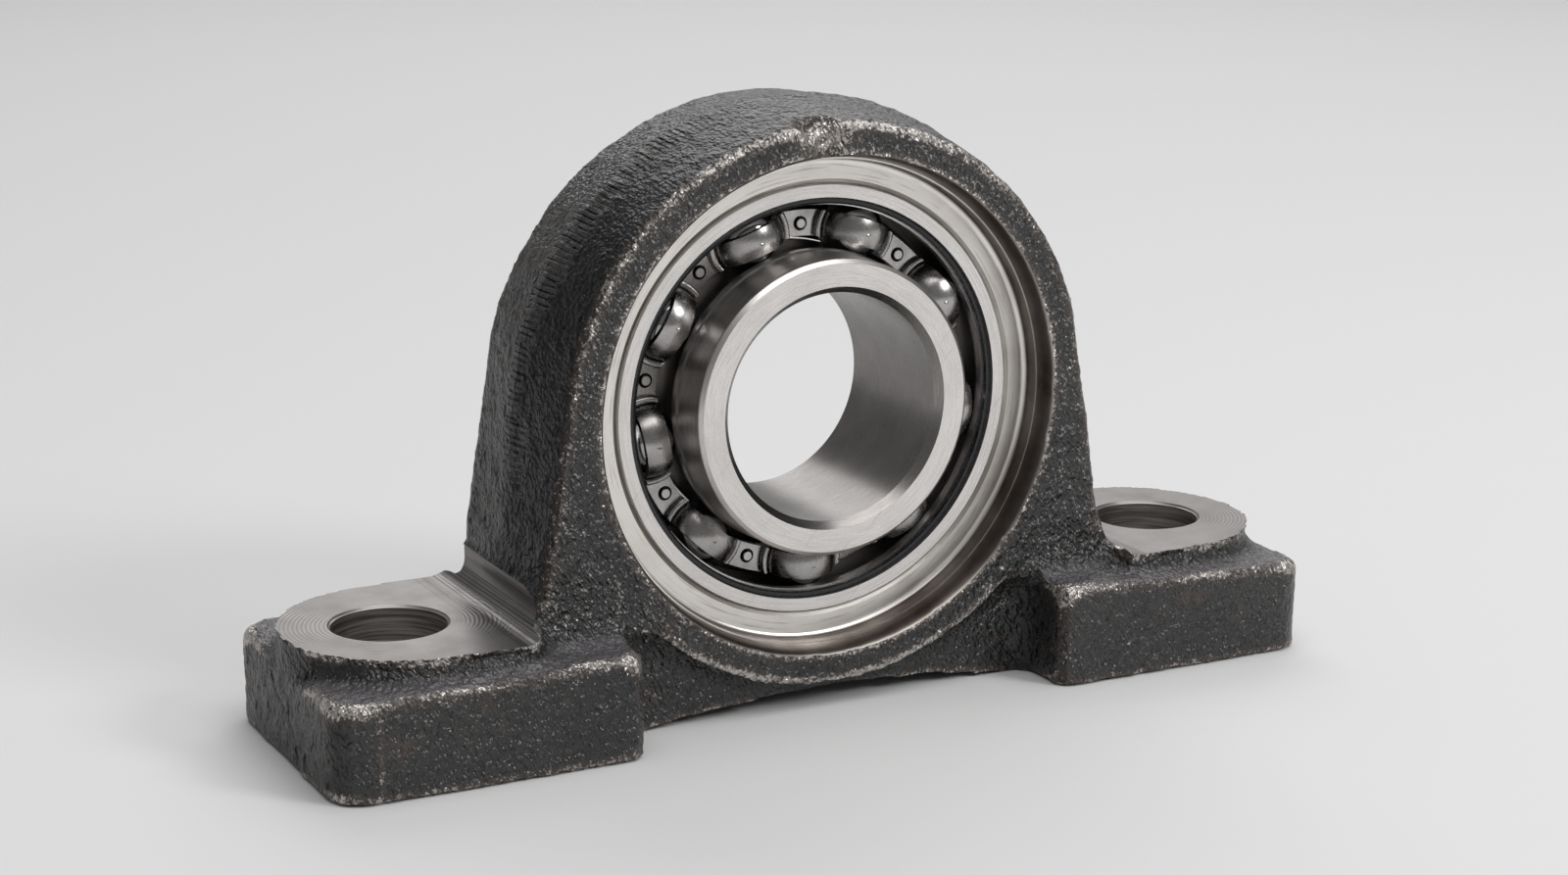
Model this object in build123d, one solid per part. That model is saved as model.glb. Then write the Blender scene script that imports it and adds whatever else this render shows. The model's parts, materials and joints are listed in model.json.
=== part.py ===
from build123d import *
import math
import os

os.makedirs("parts", exist_ok=True)

# One shared frame, in millimetres. The origin is on the floor under the middle of the bearing.
# X runs along the base from foot to foot, Y runs along the shaft with the front at minus Y, Z is up.

# The bearing's main sizes
shaft_d = 45.0
inner_track_wall = 4.88
ball_d = 12.7
outer_track_wall = 2.38
ball_count = 9
first_ball_deg = 30.0
bearing_forward = 2.0
outer_ring_width = 17.0
inner_front_reach = 16.5
inner_rear_reach = 19.5

# The housing's main sizes
centre_height = 60.0
bolt_spacing = 170.0
bolt_hole_d = 22.0
foot_end_margin = 21.0
base_width = 60.0
hub_half_depth = 18.5
pad_height = 24.0

# Fits and clearances
race_clearance = 0.02
pocket_clearance = 0.25
rivet_clearance = 0.06
overlap = 1.0

# Bearing rings
race_conformity = 0.52
outer_track_depth = 1.92
outer_face_width = 2.7
outer_edge_break = 0.25
outer_edge_depth = 0.6
seal_undercut = 0.3
seal_seat_front = 0.5
seal_width = 1.5
seal_lip_inset = 0.3
seal_groove_depth = 0.35
shield_sheet = 0.5
shield_proud = 0.35
shield_gap = 0.4
shield_rim_gap = 0.2
inner_track_depth = 2.12
inner_neck_step = 0.3
inner_edge_height = 0.85
inner_edge_depth = 0.8
inner_edge_round = 0.6
inner_land_inset = 1.9
inner_step_run = 0.5
bore_chamfer_radial = 1.35
bore_chamfer_depth = 1.7

# Cage of two stamped halves
cage_sheet = 1.0
cage_inner_gap = 1.8
cage_outer_gap = 1.8
cage_bend_r = 0.7
rivet_shank_r = 0.72
rivet_head_r = 1.02
rivet_recess_r = 1.45
rivet_recess_depth = 0.55
rivet_head_proud = 0.45
rivet_edge_break = 0.15

# Feet of the housing
foot_reach_in = 39.5
foot_drop_inner = 3.2
foot_drop_outer = 5.2
foot_outer_corner_r = 7.0
foot_inner_corner_r = 3.0
foot_top_edge_r = 2.4
foot_bottom_edge_r = 1.0

# Raised milled pads on the feet
pad_round_offset = 3.8
pad_end_inset = 0.7
pad_draft_deg = 5.0
pad_mill_stock = 0.6
pad_sink = 1.8
pad_inner_gap = 2.2
pad_corner_r = 1.8
pad_root_reach = 3.4
pad_side_bulge = 0.7
mill_wall_gap = 6.6
mill_corner_r = 5.0
mill_side_reach = 10.0
mill_end_reach = 14.0
hole_edge_break = 0.5

# Arch: a round top over sides that lean out, wider at the mould's parting line
arch_front_wall = 0.8
arch_front_lean_deg = 9.5
arch_front_drop = 0.5
arch_mid_bulge = 3.6
arch_mid_lean_deg = 5.5
arch_mid_drop = 0.7
arch_rear_bulge = 2.6
arch_rear_lean_deg = 9.0
arch_rear_drop = 0.9
arch_root_sink = 0.8
arch_root_rise = 2.0
arch_root_depth = 8.0
arch_root_reach = 3.0
arch_flare_mid_r = 10.0
arch_flare_end_r = 12.0
arch_edge_r = 2.2

# Hub boss, web and underside
boss_wall = 6.3
boss_draft = 0.9
web_step = 3.0
web_rise = 2.2
web_recess_rise = 0.5
relief_margin = 5.5
relief_rise = 3.2
front_cove_r = 6.0
front_cove_end = 0.1
web_cove_r = 4.0

# Turned openings in the hub
ledge_gap = 0.9
ledge_width = 5.2
recess_step = 0.3
recess_step_depth = 4.5
recess_flare = 0.7
recess_edge_break = 0.6
recess_fillet_r = 1.3
bore_lead_depth = 0.8
shoulder_height = 3.1
shoulder_width = 4.2

# A chip out of the casting's top front edge
chip_offset = 4.0
chip_r = 5.5
chip_out = 3.4
chip_front = 3.6

# Bearing values worked out from the ones above
full_turn = 360.0
half_corner = math.radians(45)
same = 0.05
shaft_r = shaft_d / 2
ball_r = ball_d / 2
inner_race_bottom = shaft_r + inner_track_wall
pitch_r = inner_race_bottom + race_clearance + ball_r
outer_race_bottom = pitch_r + ball_r + race_clearance
bearing_r = outer_race_bottom + outer_track_wall
race_groove_r = 2 * race_conformity * ball_r
outer_land_r = outer_race_bottom - outer_track_depth
outer_face_inner_r = bearing_r - outer_face_width
seal_seat_r = outer_face_inner_r + seal_undercut
seal_lip_r = outer_land_r + seal_lip_inset
seal_groove_half = (outer_face_inner_r - seal_lip_r) / 4
inner_land_r = inner_race_bottom + inner_track_depth
inner_neck_r = inner_land_r - inner_neck_step
inner_face_outer_r = inner_neck_r - inner_edge_height
inner_land_half = outer_ring_width / 2 - inner_land_inset
cage_inner_r = inner_land_r + cage_inner_gap
cage_outer_r = outer_land_r - cage_outer_gap
pitch_step_deg = full_turn / ball_count
pocket_r = ball_r + pocket_clearance
dome_r = pocket_r + cage_sheet
bearing_mid_y = -bearing_forward
outer_front_y = bearing_mid_y - outer_ring_width / 2
outer_rear_y = bearing_mid_y + outer_ring_width / 2
inner_front_y = bearing_mid_y - inner_front_reach
inner_rear_y = bearing_mid_y + inner_rear_reach

# Housing values worked out from the ones above
hub_front_y = -hub_half_depth
hub_rear_y = hub_half_depth
half_width = base_width / 2
bolt_x = bolt_spacing / 2
bolt_r = bolt_hole_d / 2
half_length = bolt_x + foot_end_margin
foot_inner_x = bolt_x - foot_reach_in
foot_edge_height_inner = pad_height - foot_drop_inner
foot_edge_height_outer = pad_height - foot_drop_outer
ledge_inner_r = bearing_r + ledge_gap
recess_r = bearing_r + ledge_width
recess_mid_r = recess_r + recess_step
recess_mouth_r = recess_mid_r + recess_flare
recess_mid_y = hub_front_y + recess_step_depth
shoulder_r = bearing_r - shoulder_height
boss_r = recess_mouth_r + boss_wall
web_half_depth = hub_half_depth - web_step
arch_front_r = boss_r + arch_front_wall
arch_mid_r = arch_front_r + arch_mid_bulge
arch_rear_r = arch_front_r + arch_rear_bulge
arch_root_height = foot_edge_height_inner - arch_root_sink
arch_root_mid_height = arch_root_height + arch_root_rise
arch_root_low = arch_root_height - arch_root_depth
arch_root_half = bolt_x + arch_root_reach
web_top = foot_edge_height_inner + web_rise
web_recess_top = arch_root_height + web_recess_rise
relief_half_span = foot_inner_x - relief_margin
pad_round_x = bolt_x - pad_round_offset
pad_round_r = foot_end_margin + pad_round_offset - pad_end_inset
pad_inner_half_width = pad_round_r + pad_side_bulge
pad_cast_height = pad_height + pad_mill_stock
pad_root_height = foot_edge_height_outer - pad_sink
mill_wall_x = arch_front_r + mill_wall_gap
pad_inner_x = mill_wall_x + pad_inner_gap
pad_root_x = mill_wall_x - pad_root_reach
front_cove_x = mill_wall_x + front_cove_end


def turned(points, rounds=()):
    """Turn a closed outline of (radius, y) points about the shaft axis, with some corners rounded."""
    axis_point = (0, 0, centre_height)
    outline = [Vector(r, y, centre_height) for r, y in points]
    face = Face(Wire.make_polygon(outline, close=True))
    for corner_r, corner_y, round_r in rounds:
        spot = Vector(corner_r, corner_y, centre_height)
        corner = min(face.vertices(), key=lambda v: (Vector(v) - spot).length)
        face = face.fillet_2d(round_r, [corner])
    return revolve(face, Axis(axis_point, (0, 1, 0)), full_turn)


def shaft_cylinder(radius, y_low, y_high):
    """A cylinder about the shaft axis between two y values."""
    plane = Plane(origin=(0, y_low, centre_height), x_dir=(1, 0, 0), z_dir=(0, 1, 0))
    return extrude(plane * Circle(radius), y_high - y_low)


def around(angle_deg, radius, y):
    """A point at an angle about the shaft axis, counted from plus X towards plus Z."""
    turn = math.radians(angle_deg)
    return (radius * math.cos(turn), y, centre_height + radius * math.sin(turn))


def ball_angle(number):
    return first_ball_deg + pitch_step_deg * number


def rivet_angle(number):
    return ball_angle(number) + pitch_step_deg / 2


def one_solid(shape):
    """The largest solid of a shape, as one named piece."""
    return sorted(shape.solids(), key=lambda s: s.volume)[-1]


def make_outer_ring():
    """Outer ring with a ball track and a seat for a black ring at each side."""
    front, rear = outer_front_y, outer_rear_y
    seat_front = front + seal_seat_front
    seat_back = seat_front + seal_width
    rear_seat_back = rear - seal_seat_front
    rear_seat_front = rear_seat_back - seal_width
    points = [
        (bearing_r - outer_edge_break, front),
        (bearing_r, front + outer_edge_depth),
        (bearing_r, rear - outer_edge_depth),
        (bearing_r - outer_edge_break, rear),
        (outer_face_inner_r, rear),
        (outer_face_inner_r, rear_seat_back),
        (seal_seat_r, rear_seat_back),
        (seal_seat_r, rear_seat_front),
        (outer_land_r, rear_seat_front),
        (outer_land_r, seat_back),
        (seal_seat_r, seat_back),
        (seal_seat_r, seat_front),
        (outer_face_inner_r, seat_front),
        (outer_face_inner_r, front),
    ]
    ring = turned(points)
    track_r = outer_race_bottom - race_groove_r
    return one_solid(ring - Pos(0, bearing_mid_y, centre_height) * track_torus(track_r))


def track_torus(track_r):
    """The round groove that the balls run in, about the shaft axis."""
    return Rot(X=90) * Torus(track_r, race_groove_r)


def make_inner_ring():
    """Wide inner ring whose front end stands out of the housing."""
    front, rear = inner_front_y, inner_rear_y
    land_front = bearing_mid_y - inner_land_half
    land_rear = bearing_mid_y + inner_land_half
    edge_r = inner_face_outer_r
    mouth_r = shaft_r + bore_chamfer_radial
    points = [
        (mouth_r, front),
        (edge_r, front),
        (inner_neck_r, front + inner_edge_depth),
        (inner_neck_r, land_front - inner_step_run),
        (inner_land_r, land_front),
        (inner_land_r, land_rear),
        (inner_neck_r, land_rear + inner_step_run),
        (inner_neck_r, rear - inner_edge_depth),
        (edge_r, rear),
        (mouth_r, rear),
        (shaft_r, rear - bore_chamfer_depth),
        (shaft_r, front + bore_chamfer_depth),
    ]
    rounds = [
        (inner_neck_r, front + inner_edge_depth, inner_edge_round),
        (inner_neck_r, rear - inner_edge_depth, inner_edge_round),
    ]
    track = Pos(0, bearing_mid_y, centre_height) * track_torus(inner_race_bottom + race_groove_r)
    return one_solid(turned(points, rounds) - track)


def make_front_seal_ring():
    """Narrow black ring in the outer ring's seat, with one fine groove in its open face."""
    face_y = outer_front_y + seal_seat_front
    groove_mid = (outer_face_inner_r + seal_lip_r) / 2
    points = [
        (seal_seat_r, face_y),
        (groove_mid + 2 * seal_groove_half, face_y),
        (groove_mid + seal_groove_half, face_y + seal_groove_depth),
        (groove_mid - seal_groove_half, face_y + seal_groove_depth),
        (groove_mid - 2 * seal_groove_half, face_y),
        (seal_lip_r, face_y + seal_groove_depth),
        (seal_lip_r, face_y + seal_width),
        (seal_seat_r, face_y + seal_width),
    ]
    return one_solid(turned(points))


def make_rear_seal_ring():
    """The same seat at the rear holds a full shield that ends just short of the inner ring."""
    face_y = outer_rear_y - seal_seat_front
    shield_y = face_y + shield_proud
    shield_rim_r = outer_face_inner_r - shield_rim_gap
    shield_hole_r = inner_neck_r + shield_gap
    points = [
        (seal_seat_r, face_y),
        (shield_rim_r, face_y),
        (shield_rim_r, shield_y),
        (shield_hole_r, shield_y),
        (shield_hole_r, shield_y - shield_sheet),
        (seal_lip_r, shield_y - shield_sheet),
        (seal_lip_r, face_y - seal_width),
        (seal_seat_r, face_y - seal_width),
    ]
    return one_solid(turned(points))


def make_dome(place_angle, side):
    """One dome of a cage half, with a bend of its own where it leaves the flat sheet."""
    bend_z = cage_sheet + cage_bend_r
    bend_x = math.sqrt((dome_r + cage_bend_r) ** 2 - bend_z ** 2)
    share = dome_r / (dome_r + cage_bend_r)
    touch_x, touch_z = bend_x * share, bend_z * share
    to_touch = math.atan2(touch_z - bend_z, touch_x - bend_x) - 2 * math.pi
    middle_angle = (-math.pi / 2 + to_touch) / 2
    mid_x = bend_x + cage_bend_r * math.cos(middle_angle)
    mid_z = bend_z + cage_bend_r * math.sin(middle_angle)
    crown = math.atan2(touch_z, touch_x)
    high = (crown + math.pi / 2) / 2
    bend = ThreePointArc((bend_x, cage_sheet), (mid_x, mid_z), (touch_x, touch_z))
    cap = ThreePointArc((touch_x, touch_z), (dome_r * math.cos(high), dome_r * math.sin(high)), (0, dome_r))
    rest = Polyline((0, dome_r), (0, 0), (bend_x, 0), (bend_x, cage_sheet))
    centre = around(place_angle, pitch_r, bearing_mid_y)
    plane = Plane(origin=centre, x_dir=(1, 0, 0), z_dir=(0, 0, side))
    face = plane * make_face([bend, cap, rest])
    return revolve(face, Axis(centre, (0, 1, 0)), full_turn)


def make_cage_half(front):
    """One stamped half: flat lands between domes that follow the balls."""
    side = -1 if front else 1
    y_flat = bearing_mid_y
    y_face = bearing_mid_y + side * cage_sheet
    far = bearing_mid_y + side * (dome_r + overlap)
    low, high = min(y_flat, y_face), max(y_flat, y_face)
    band = shaft_cylinder(cage_outer_r, min(y_flat, far), max(y_flat, far))
    band -= shaft_cylinder(cage_inner_r, min(y_flat, far), max(y_flat, far))
    shape = shaft_cylinder(cage_outer_r, low, high)
    for number in range(ball_count):
        shape += make_dome(ball_angle(number), side)
    shape = shape & band
    for number in range(ball_count):
        shape -= Pos(*around(ball_angle(number), pitch_r, bearing_mid_y)) * Sphere(pocket_r)
    for number in range(ball_count):
        spot = around(rivet_angle(number), pitch_r, low - overlap)
        plane = Plane(origin=spot, x_dir=(1, 0, 0), z_dir=(0, 1, 0))
        shape -= extrude(plane * Circle(rivet_shank_r + rivet_clearance), high - low + 2 * overlap)
        recess_y = y_face - side * rivet_recess_depth
        spot = around(rivet_angle(number), pitch_r, recess_y)
        plane = Plane(origin=spot, x_dir=(1, 0, 0), z_dir=(0, side, 0))
        shape -= extrude(plane * Circle(rivet_recess_r), rivet_recess_depth + overlap)
    return one_solid(shape)


def make_rivet(number):
    """Rivet with a small round head sunk in each half's recess."""
    seat = cage_sheet - rivet_recess_depth
    head = rivet_recess_depth + rivet_head_proud
    spot = around(rivet_angle(number), pitch_r, bearing_mid_y - seat)
    plane = Plane(origin=spot, x_dir=(1, 0, 0), z_dir=(0, 1, 0))
    body = extrude(plane * Circle(rivet_shank_r), 2 * seat)
    for side in (-1, 1):
        spot = around(rivet_angle(number), pitch_r, bearing_mid_y + side * seat)
        plane = Plane(origin=spot, x_dir=(1, 0, 0), z_dir=(0, side, 0))
        piece = extrude(plane * Circle(rivet_head_r), head)
        end_y = bearing_mid_y + side * (seat + head)
        circles = piece.edges().filter_by(GeomType.CIRCLE)
        rim = [e for e in circles if abs(e.center(CenterOf.BOUNDING_BOX).Y - end_y) < same]
        body += chamfer(rim, rivet_edge_break)
    return one_solid(body)


def make_ball(number):
    return Pos(*around(ball_angle(number), pitch_r, bearing_mid_y)) * Sphere(ball_r)


def arch_face(y, radius, lean_deg, drop, root, flare_r):
    """Outline of the arch at one depth: a round top, leaning sides and a flared root."""
    lean = math.radians(lean_deg)
    top_z = centre_height - drop
    side_x = radius * math.cos(lean)
    side_z = top_z + radius * math.sin(lean)
    root_x = side_x + (side_z - arch_root_low) * math.tan(lean)
    plane = Plane(origin=(0, y, 0), x_dir=(1, 0, 0), z_dir=(0, -1, 0))
    crown = ThreePointArc((side_x, side_z), (0, top_z + radius), (-side_x, side_z))
    sides = Polyline((-side_x, side_z), (-root_x, arch_root_low), (root_x, arch_root_low), (side_x, side_z))
    outline = make_face([crown, sides])
    block_mid = (arch_root_low + root) / 2
    block = Pos(0, block_mid) * Rectangle(2 * arch_root_half, root - arch_root_low)
    whole = outline + block
    corners = []
    for vertex in whole.vertices():
        at_root = abs(vertex.Y - root) < same
        inside = abs(vertex.X) < arch_root_half - overlap
        if at_root and inside:
            corners.append(vertex)
    return plane * fillet(corners, flare_r)


def make_arch():
    """Two tapered halves that meet at the mould's parting line."""
    low, high = arch_root_height, arch_root_mid_height
    end_flare, mid_flare = arch_flare_end_r, arch_flare_mid_r
    front = arch_face(hub_front_y, arch_front_r, arch_front_lean_deg, arch_front_drop, low, end_flare)
    middle = arch_face(0, arch_mid_r, arch_mid_lean_deg, arch_mid_drop, high, mid_flare)
    rear = arch_face(hub_rear_y, arch_rear_r, arch_rear_lean_deg, arch_rear_drop, low, end_flare)
    return loft([front, middle], ruled=True) + loft([middle, rear], ruled=True)


def make_foot(side):
    """Foot block with a gently falling top and rounded corners."""
    def section(x, height):
        points = [(-half_width, 0), (half_width, 0), (half_width, height), (-half_width, height)]
        return Face(Wire.make_polygon([Vector(x, y, z) for y, z in points], close=True))

    inner = section(side * foot_inner_x, foot_edge_height_inner)
    outer = section(side * half_length, foot_edge_height_outer)
    block = loft([inner, outer], ruled=True)
    far = [e for e in block.edges().filter_by(Axis.Z) if abs(e.center().X) > half_length - overlap]
    block = fillet(far, foot_outer_corner_r)
    near = [e for e in block.edges().filter_by(Axis.Z) if abs(e.center().X) < foot_inner_x + overlap]
    block = fillet(near, foot_inner_corner_r)
    top = []
    for edge in block.edges():
        middle = edge.center(CenterOf.BOUNDING_BOX)
        is_upright = edge.bounding_box().size.Z > foot_edge_height_inner / 2
        on_top = middle.Z > foot_edge_height_outer - overlap and not is_upright
        on_inner_side = abs(middle.X) < foot_inner_x + overlap / 2 and edge.length > base_width / 2
        if on_top and not on_inner_side:
            top.append(edge)
    block = fillet(top, foot_top_edge_r)
    bottom = [e for e in block.edges() if e.bounding_box().max.Z < same]
    return fillet(bottom, foot_bottom_edge_r)


def make_pad_boss(side):
    """Raised pad round the bolt hole, before milling."""
    plane = Plane(origin=(0, 0, pad_root_height), x_dir=(1, 0, 0), z_dir=(0, 0, 1))
    grow = (pad_height - pad_root_height) * math.tan(math.radians(pad_draft_deg))
    radius = pad_round_r + grow
    wide = pad_inner_half_width + grow
    round_end = Pos(side * pad_round_x, 0) * Circle(radius)
    points = [
        (side * pad_round_x, -radius),
        (side * pad_inner_x, -wide),
        (side * pad_root_x, -web_half_depth),
        (side * pad_root_x, web_half_depth),
        (side * pad_inner_x, wide),
        (side * pad_round_x, radius),
    ]
    flank = make_face(Polyline(*points, close=True))
    corners = [v for v in flank.vertices() if abs(abs(v.X) - pad_inner_x) < same]
    outline = round_end + fillet(corners, pad_corner_r)
    return extrude(plane * outline, pad_cast_height - pad_root_height, taper=pad_draft_deg)


def make_mill_cut(side):
    """Everything that the cutter clears above the pad, up to its rounded wall by the arch."""
    flat_x = mill_wall_x + mill_corner_r
    mid_x = flat_x - mill_corner_r * math.sin(half_corner)
    mid_z = pad_height + mill_corner_r * (1 - math.cos(half_corner))
    outer_x = half_length + mill_end_reach
    reach = half_width + mill_side_reach
    wall_start = (side * mill_wall_x, pad_height + mill_corner_r)
    plane = Plane(origin=(0, reach, 0), x_dir=(1, 0, 0), z_dir=(0, -1, 0))
    corner = ThreePointArc((side * flat_x, pad_height), (side * mid_x, mid_z), wall_start)
    rest = Polyline(
        wall_start,
        (side * mill_wall_x, centre_height),
        (side * outer_x, centre_height),
        (side * outer_x, pad_height),
        (side * flat_x, pad_height))
    return extrude(plane * make_face([corner, rest]), 2 * reach)


def make_cove(side_y, sign_x):
    """Rounded root between the arch's face and the top of a foot."""
    length = front_cove_x - foot_inner_x
    x_mid = sign_x * (front_cove_x + foot_inner_x) / 2
    base_z = arch_root_height
    y_mid = side_y * (hub_half_depth + front_cove_r / 2 - overlap / 2)
    place = Pos(x_mid, y_mid, base_z + front_cove_r / 2)
    block = place * Box(length, front_cove_r + overlap, front_cove_r)
    axis_y = side_y * (hub_half_depth + front_cove_r)
    round_cut = Rot(Y=90) * Cylinder(front_cove_r, length + overlap)
    return block - Pos(x_mid, axis_y, base_z + front_cove_r) * round_cut


def make_web_cove(side_y, sign_x):
    """Rounded upright root between the web's face and a foot's inner side."""
    height = foot_edge_height_inner
    x_mid = sign_x * (foot_inner_x - web_cove_r / 2 + overlap / 2)
    y_mid = side_y * (web_half_depth + web_cove_r / 2 - overlap / 2)
    block = Pos(x_mid, y_mid, height / 2) * Box(web_cove_r + overlap, web_cove_r + overlap, height)
    x_axis = sign_x * (foot_inner_x - web_cove_r)
    y_axis = side_y * (web_half_depth + web_cove_r)
    return block - Pos(x_axis, y_axis, height / 2) * Cylinder(web_cove_r, height + overlap)


def make_boss(side_y):
    """Round hub boss that stands proud of the web."""
    depth = hub_half_depth
    plane = Plane(origin=(0, side_y * depth, centre_height), x_dir=(1, 0, 0), z_dir=(0, side_y, 0))
    start = plane.offset(-depth)
    return loft([start * Circle(boss_r + boss_draft), plane * Circle(boss_r)], ruled=True)


def make_housing():
    """Cast housing: two feet, web, hub boss and arch in one piece, then machined."""
    arch = make_arch()
    edges = []
    for edge in arch.edges():
        middle = edge.center(CenterOf.BOUNDING_BOX)
        flat = edge.bounding_box().size.Y < same
        on_face = abs(abs(middle.Y) - hub_half_depth) < same
        if flat and on_face and middle.Z > arch_root_height + arch_flare_end_r:
            edges.append(edge)
    arch = fillet(edges, arch_edge_r)
    gap_height = web_recess_top
    body = arch - Pos(0, 0, gap_height / 2) * Box(2 * foot_inner_x, base_width, gap_height)
    web_length = 2 * (foot_inner_x + overlap)
    body += Pos(0, 0, web_top / 2) * Box(web_length, 2 * web_half_depth, web_top)
    for side in (-1, 1):
        foot = make_foot(side)
        body += foot
        body += make_boss(side)
        body += make_pad_boss(side)
        for side_y in (-1, 1):
            body += make_cove(side_y, side)
            body += make_web_cove(side_y, side)
        body -= make_mill_cut(side)
    return cut_openings(body)


def cut_openings(body):
    """Turned bore and recesses, bolt holes, the underside's shallow arc and the chipped edge."""
    rise = relief_rise
    relief_r = (relief_half_span ** 2 + rise ** 2) / (2 * rise)
    body -= Pos(0, 0, rise - relief_r) * Rot(X=90) * Cylinder(relief_r, base_width + overlap)
    ledge_y = outer_front_y
    out_y = hub_front_y - overlap
    front_points = [
        (0, out_y),
        (recess_mouth_r + recess_edge_break, out_y),
        (recess_mouth_r + recess_edge_break, hub_front_y),
        (recess_mouth_r, hub_front_y + recess_edge_break),
        (recess_mid_r, recess_mid_y),
        (recess_r, recess_mid_y),
        (recess_r, ledge_y),
        (ledge_inner_r, ledge_y),
        (bearing_r, ledge_y + bore_lead_depth),
        (bearing_r, outer_rear_y),
        (shoulder_r, outer_rear_y),
        (shoulder_r, outer_rear_y + shoulder_width),
        (recess_r, outer_rear_y + shoulder_width),
        (recess_mouth_r, hub_rear_y - recess_edge_break),
        (recess_mouth_r + recess_edge_break, hub_rear_y),
        (recess_mouth_r + recess_edge_break, hub_rear_y + overlap),
        (0, hub_rear_y + overlap),
    ]
    rounds = [
        (recess_r, ledge_y, recess_fillet_r),
        (recess_r, outer_rear_y + shoulder_width, recess_fillet_r),
    ]
    body -= turned(front_points, rounds)
    for side in (-1, 1):
        body -= Pos(side * bolt_x, 0, pad_height / 2) * Cylinder(bolt_r, pad_height + 2 * overlap)
        cone = Pos(side * bolt_x, 0, pad_height - hole_edge_break / 2)
        body -= cone * Cone(bolt_r, bolt_r + hole_edge_break, hole_edge_break)
    chip_z = centre_height - arch_front_drop + arch_front_r
    chip = Pos(-chip_offset, hub_front_y - chip_front, chip_z + chip_out) * Sphere(chip_r)
    return one_solid(body - chip)


if __name__ == "__main__":
    nodes = {"housing": make_housing()}
    nodes["bearing_outer_ring"] = make_outer_ring()
    nodes["bearing_inner_ring"] = make_inner_ring()
    nodes["front_seal_ring"] = make_front_seal_ring()
    nodes["rear_seal_ring"] = make_rear_seal_ring()
    nodes["cage_front"] = make_cage_half(True)
    nodes["cage_rear"] = make_cage_half(False)
    for number in range(ball_count):
        nodes[f"ball_{number + 1}"] = make_ball(number)
        nodes[f"cage_rivet_{number + 1}"] = make_rivet(number)
    for name, shape in nodes.items():
        export_step(shape, f"parts/{name}.step")
        print(name, round(shape.volume), shape.is_valid)
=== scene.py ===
import json
import math

import bmesh
import bpy
import numpy as np
from mathutils import Matrix, Vector, kdtree, noise


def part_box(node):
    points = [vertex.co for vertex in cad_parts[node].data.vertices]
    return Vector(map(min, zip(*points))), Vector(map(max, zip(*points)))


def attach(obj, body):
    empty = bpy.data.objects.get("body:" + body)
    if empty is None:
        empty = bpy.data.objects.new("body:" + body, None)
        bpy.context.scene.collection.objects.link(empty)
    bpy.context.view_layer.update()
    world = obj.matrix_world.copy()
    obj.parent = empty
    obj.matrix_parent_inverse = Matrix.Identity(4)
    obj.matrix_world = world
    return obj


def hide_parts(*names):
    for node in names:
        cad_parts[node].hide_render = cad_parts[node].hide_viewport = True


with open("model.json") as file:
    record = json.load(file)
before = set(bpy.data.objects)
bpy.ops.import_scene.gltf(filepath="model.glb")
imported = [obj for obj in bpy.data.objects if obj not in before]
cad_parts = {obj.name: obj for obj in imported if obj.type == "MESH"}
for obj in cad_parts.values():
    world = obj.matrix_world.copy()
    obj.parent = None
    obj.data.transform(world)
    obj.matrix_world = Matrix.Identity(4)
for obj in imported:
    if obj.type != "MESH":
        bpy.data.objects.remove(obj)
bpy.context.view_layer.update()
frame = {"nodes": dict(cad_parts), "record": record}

# Everything is in metres, in the frame of the CAD model: X along the base, Y along the shaft, Z up.
MM = 0.001

# Camera, worked out from the circles and straight edges of the photograph
IMAGE_WIDTH = 1600.0
FOCAL_PX = 2976.0
CAMERA_TURN_DEG = 27.39
CAMERA_RISE_DEG = 13.88
CAMERA_ROLL_DEG = 0.2
CAMERA_DISTANCE = 577.73 * MM
AIM_RIGHT = -1.59 * MM
AIM_HEIGHT = 50.33 * MM
SENSOR_WIDTH = 36.0
CLIP_START = 0.01
CLIP_END = 100.0

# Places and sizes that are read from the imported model
RING_LOW, RING_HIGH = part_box("bearing_outer_ring")
HOUSING_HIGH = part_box("housing")[1]
MOUNTS = {m["name"]: m for m in frame["record"]["mounts"]}
AXIS_Z = (RING_LOW.z + RING_HIGH.z) / 2
RING_R = (RING_HIGH.x - RING_LOW.x) / 2
RING_FRONT = RING_LOW.y
RING_REAR = RING_HIGH.y
PAD_Z = MOUNTS["left_pad"]["pos_m"][2]
BOLT_X = MOUNTS["mounting_bolts"]["dims"]["spacing_x_mm"] * MM / 2
BORE_R = MOUNTS["shaft_bore"]["dims"]["r_mm"] * MM
BOLT_R = MOUNTS["mounting_bolts"]["dims"]["hole_r_mm"] * MM

# Machined shapes of the housing, as in the CAD model
HUB_FACE_Y = 18.5 * MM
LEDGE_GAP = 0.9 * MM
LEDGE_WIDTH = 5.2 * MM
RECESS_STEP = 0.3 * MM
RECESS_STEP_DEPTH = 4.5 * MM
RECESS_FLARE = 0.7 * MM
RECESS_EDGE_BREAK = 0.6 * MM
RECESS_FILLET_R = 1.3 * MM
RECESS_WALL_R = RING_R + LEDGE_WIDTH
RECESS_MOUTH_R = RECESS_WALL_R + RECESS_STEP + RECESS_FLARE
RECESS_EDGE_R = RECESS_MOUTH_R + RECESS_EDGE_BREAK
BORE_LEAD_DEPTH = 0.8 * MM
SHOULDER_HEIGHT = 3.1 * MM
SHOULDER_WIDTH = 4.2 * MM
MILL_WALL_X = 62.4 * MM
MILL_CORNER_R = 5.0 * MM
MILL_WALL_RISE = 7.4 * MM
HOLE_EDGE_BREAK = 0.5 * MM

# Cage and arch, for the marks that their materials draw
RIVET_CIRCLE_R = 33.75 * MM
RIVET_ANGLE = math.radians(50)
RIVET_STEP = math.radians(40)
BEARING_MID_Y = (RING_FRONT + RING_REAR) / 2
ARCH_R = 59.0 * MM
COMB_PITCH = 1.25 * MM


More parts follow.
